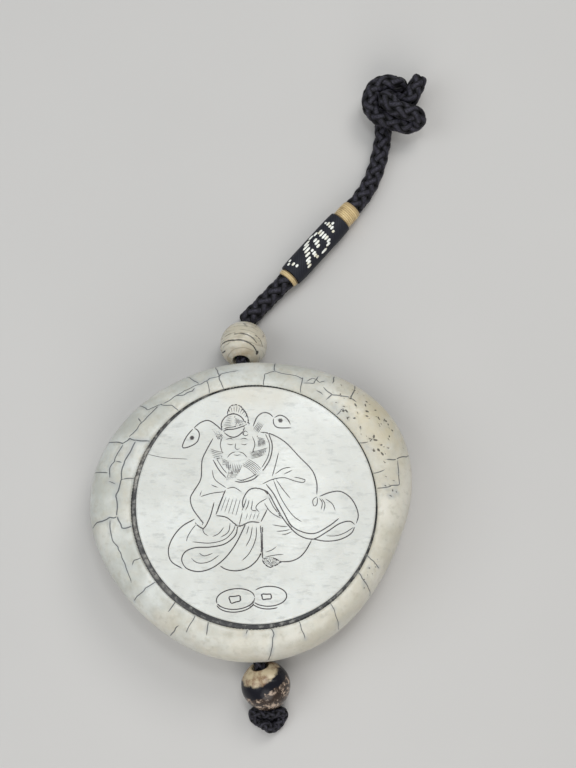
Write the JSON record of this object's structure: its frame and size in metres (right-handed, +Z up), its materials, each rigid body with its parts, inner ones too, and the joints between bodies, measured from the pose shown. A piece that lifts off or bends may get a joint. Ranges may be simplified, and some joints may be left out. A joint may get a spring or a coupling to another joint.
{
  "type": "manju netsuke",
  "caption": "Thick pebble-shaped bone toggle with a domed engraved disc let into its face, strung between round beads on a short knotted black cord.",
  "frame": {"origin": "on the flat underside of the bone body, at the middle of its outline", "axes": "+Z up through the engraved face, +Y from the lower bead towards the upper bead, +X across the body"},
  "size_m": [0.0529, 0.1055, 0.0136],
  "materials": {
    "ring_bone": "satin crazed bone",
    "disc_bone": "polished white bone",
    "bead_bone": "polished bone",
    "bead_tan": "polished tan bone with a black band",
    "black_cord": "braided black cord",
    "brocade": "black weave with gold and silver threads",
    "thread": "tan thread whipping"
  },
  "bodies": {
    "root": {"bone_body": "ring_bone", "engraved_disc": "disc_bone", "upper_bead": "bead_bone", "lower_bead": "bead_tan", "inner_cord": "black_cord", "braided_cord": "black_cord", "brocade_sleeve": "brocade", "lower_whipping": "thread", "upper_whipping": "thread", "end_knot": "black_cord", "stopper_knot": "black_cord"}
  },
  "joints": []
}
